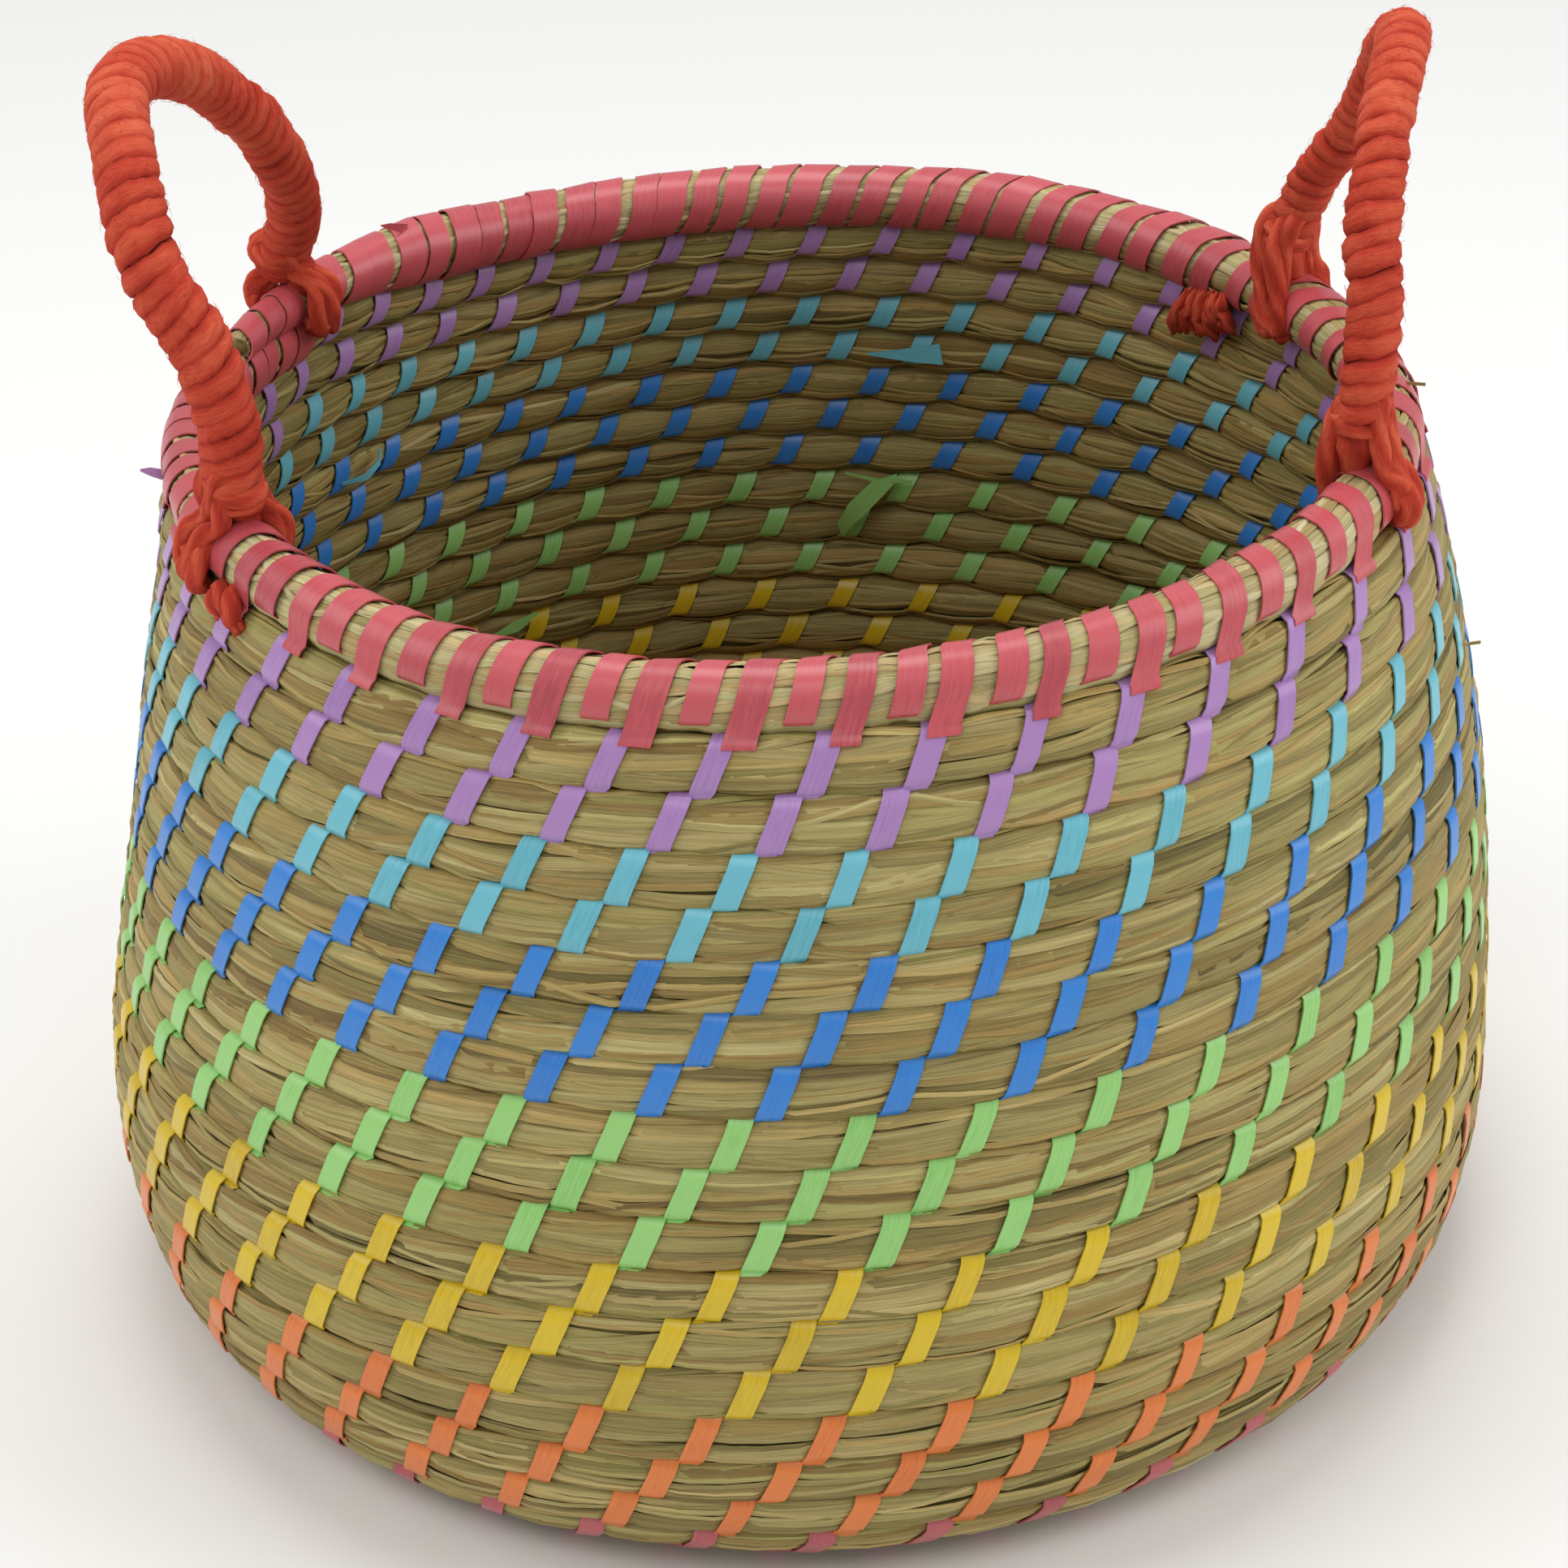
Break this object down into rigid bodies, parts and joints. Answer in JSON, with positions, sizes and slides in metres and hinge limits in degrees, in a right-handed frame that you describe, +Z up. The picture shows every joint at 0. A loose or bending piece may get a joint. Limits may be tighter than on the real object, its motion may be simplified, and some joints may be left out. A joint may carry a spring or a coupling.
{
  "type": "handled basket",
  "caption": "Round-bellied coiled seagrass basket stitched with coloured straps, with a bound rim and yarn-wrapped rope hoop handles that rock on their lashings.",
  "frame": {"origin": "middle of the underside, on the ground", "axes": "+Z up out of the mouth, +X to the right handle, -Y to the front"},
  "size_m": [0.3127, 0.3126, 0.2939],
  "materials": {
    "seagrass": "satin",
    "bound_rim": "satin",
    "yarn": "matte",
    "rope": "matte",
    "rim_strap": "satin",
    "purple_strap": "satin",
    "cyan_strap": "satin",
    "blue_strap": "satin",
    "green_strap": "satin",
    "yellow_strap": "satin",
    "orange_strap": "satin",
    "red_strap": "satin"
  },
  "bodies": {
    "basket": {"base_coil": "seagrass", "heel_coil": "seagrass", "wall_coil": "seagrass", "rim_coil": "bound_rim", "left_front_lashing": "yarn", "left_rear_lashing": "yarn", "right_front_lashing": "yarn", "right_rear_lashing": "yarn", "left_yarn_tail": "yarn", "right_yarn_tail": "yarn"},
    "left_handle": {"left_handle_rope": "rope", "left_handle_yarn": "yarn"},
    "right_handle": {"right_handle_rope": "rope", "right_handle_yarn": "yarn"}
  },
  "joints": [
    {"name": "left_handle_rock", "type": "hinge", "parent": "basket", "child": "left_handle", "pos_m": [-0.11285, -0.00027, 0.21643], "axis": [0.0074, -0.9995, -0.0296], "range_deg": [-50, 60]},
    {"name": "right_handle_rock", "type": "hinge", "parent": "basket", "child": "right_handle", "pos_m": [0.11558, 0.00264, 0.21911], "axis": [-0.0277, 0.9995, 0.0135], "range_deg": [-50, 60]}
  ]
}
